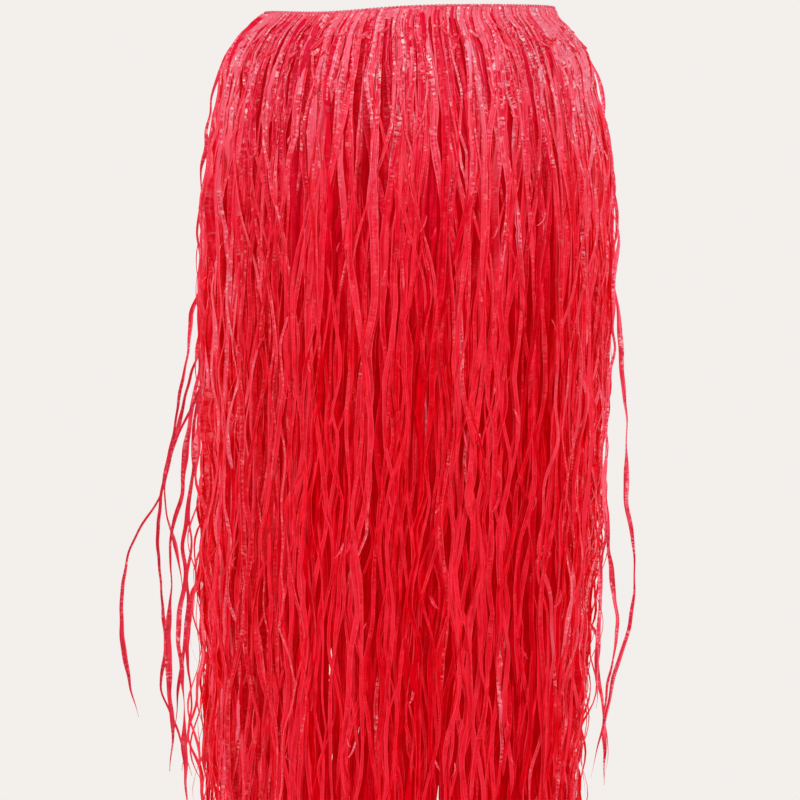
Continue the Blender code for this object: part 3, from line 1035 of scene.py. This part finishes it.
def edge_stitching(material):
    """The overlock thread that winds round the rolled edge, reaching further down in some stitches."""
    rng = np.random.default_rng(6)
    points = STITCHES_ROUND * STITCH_POINTS
    angles = even_angles(points, 0.0)[None, :]
    phase = 2 * math.pi * np.arange(points)[None, :] / STITCH_POINTS
    uneven = 1 + 0.12 * np.repeat(rng.normal(0, 1, (1, STITCHES_ROUND)), STITCH_POINTS, axis=1).clip(-2, 2)
    inset = ROLL_INSET - STITCH_REACH * np.cos(phase)
    routes = on_form(angles, np.zeros_like(angles), inset)
    routes[..., 2] += STITCH_REACH * np.sin(phase) * np.where(np.sin(phase) < 0, 1.3 * uneven, 1.0)
    settings = {"Thread Radius": STITCH_RADIUS, "Sides": 6, "Material": material}
    return swept_object("edge_stitching", routes, True, {}, THREADS, settings)


# ---- the skirt

SURFACE = raffia_surface_group()
# The raffia's glow is painted light that lifts its shade.
RAFFIA = raffia_material("raffia", SURFACE, (1.0, 0.0, 0.004, 1.0), 0.12)
# A strand that hangs alone lets more light through, which is painted as a stronger, pinker glow.
RAFFIA_ALONE = raffia_material("raffia_alone", SURFACE, (1.0, 0.075, 0.155, 1.0), 0.20)
EDGE_THREAD = thread_material("edge_thread", (0.78, 0.20, 0.27, 1.0))
ELASTIC = elastic_material("elastic", (0.42, 0.010, 0.018, 1.0))
RIBBONS = ribbon_tree()
THREADS = thread_tree()


def placed(piece, node):
    """Joins a piece to the skirt in place of a solid."""
    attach(piece, "root")
    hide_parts(node)
    return piece


def ribbons(name, node, strands, sides, material):
    """Strands as one piece of raffia."""
    routes, values = strands
    settings = {"Sides": sides, "Material": material}
    return placed(swept_object(name, routes, False, values, RIBBONS, settings), node)


# The pieces made for each length of fringe's heading.
sewn_to = {}
for layer in LAYERS:
    strands = ribbons(layer.name, layer.node, layer_strands(layer), layer.sides, RAFFIA)
    sewn_to.setdefault(layer.node, []).append(strands)
sewn_to["fringe_top"] += [
    ribbons("loose_strands", "fringe_top", loose_strands(True), 4, RAFFIA_ALONE),
    ribbons("lifted_strands", "fringe_top", loose_strands(False), 4, RAFFIA),
    *(ribbons(ends.name, "fringe_top", curled_ends(ends), 4, RAFFIA) for ends in CURLED_ENDS),
    placed(rolled_edge(RAFFIA), "fringe_top"),
    placed(edge_stitching(EDGE_THREAD), "fringe_top"),
]
sewn_to["fringe_under"].append(placed(elastic_band(ELASTIC), "waist_elastic"))

for level, (node, cut) in enumerate(HEADING_CUTS.items()):
    columns = HEADING_COLUMNS if level == 0 else HEADING_COLUMNS // 2
    heading = heading_shell("heading_" + node.split("_")[1], level, RAFFIA, columns, HEADING_SEED + level)
    placed(heading, node)
    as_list(sewn_to[node])

# ---- camera, light and floor

CAMERA_DISTANCE = 8.0
SENSOR_WIDTH = 36.0
FRAME_WIDTH = 0.800
FRAME_CENTRE = (-0.007, -0.389)
camera_data = bpy.data.cameras.new("camera")
camera_data.sensor_width = SENSOR_WIDTH
camera_data.lens = SENSOR_WIDTH * CAMERA_DISTANCE / FRAME_WIDTH
camera = new_object("camera", camera_data)
camera.location = (FRAME_CENTRE[0], -CAMERA_DISTANCE, FRAME_CENTRE[1])
camera.rotation_euler = (math.radians(90), 0, 0)
bpy.context.scene.camera = camera

# Large soft lights: where each stands, what height it is aimed at, its size, its power and its colour.
NEAR_WHITE = (1.0, 0.98, 0.99)
LIGHTS = (
    ("key", (-3.17, -1.83, 1.1), -0.38, (0.5, 0.5), 70, NEAR_WHITE),
    ("fill", (3.03, -1.97, 0.7), -0.38, (0.8, 0.8), 60, NEAR_WHITE),
    ("above", (0.1, -1.25, 1.7), -0.10, (1.2, 0.7), 10, (1.0, 0.99, 1.0)),
    ("behind", (0.0, 3.0, 0.9), -0.38, (3.0, 1.2), 48, NEAR_WHITE),
)
for name, place, aim, size, power, colour in LIGHTS:
    lamp_data = bpy.data.lights.new(name, "AREA")
    lamp_data.shape = "RECTANGLE"
    lamp_data.size, lamp_data.size_y = size
    lamp_data.energy = power
    lamp_data.color = colour
    lamp = new_object(name, lamp_data)
    lamp.location = place
    lamp.rotation_euler = (Vector((0, 0, aim)) - Vector(place)).to_track_quat("-Z", "Y").to_euler()

FLOOR_DROP = 1.0
FLOOR_RADIUS = 1.8
FLOOR_CORNERS = 96
turns = [2 * math.pi * corner / FLOOR_CORNERS for corner in range(FLOOR_CORNERS)]
corners = [(FLOOR_RADIUS * math.cos(turn), FLOOR_RADIUS * math.sin(turn), -FLOOR_DROP) for turn in turns]
disc = bpy.data.meshes.new("floor")
disc.from_pydata(corners, [], [list(range(FLOOR_CORNERS))])
disc.materials.append(studio_material("floor", (0.86, 0.84, 0.82, 1.0)))
new_object("floor", disc)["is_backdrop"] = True

# The studio is seen at its full brightness, and lights the skirt with less.
BACKGROUND = (0.896, 0.863, 0.838, 1.0)
SKY_LIGHT = 0.18
world = bpy.data.worlds.new("studio")
world.use_nodes = True
bpy.context.scene.world = world
sky = Wiring(world.node_tree)
background = world.node_tree.nodes["Background"]
background.inputs["Color"].default_value = BACKGROUND
seen = sky.add("ShaderNodeLightPath").outputs["Is Camera Ray"]
strength = sky.add("ShaderNodeMix", [(0, seen), (2, SKY_LIGHT), (3, 1.0)], data_type="FLOAT")
sky.join(strength.outputs[0], background.inputs["Strength"])

bpy.context.scene.view_settings.view_transform = "Standard"

[[list(corner) for corner in box] for box in (CAD_BOX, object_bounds())]
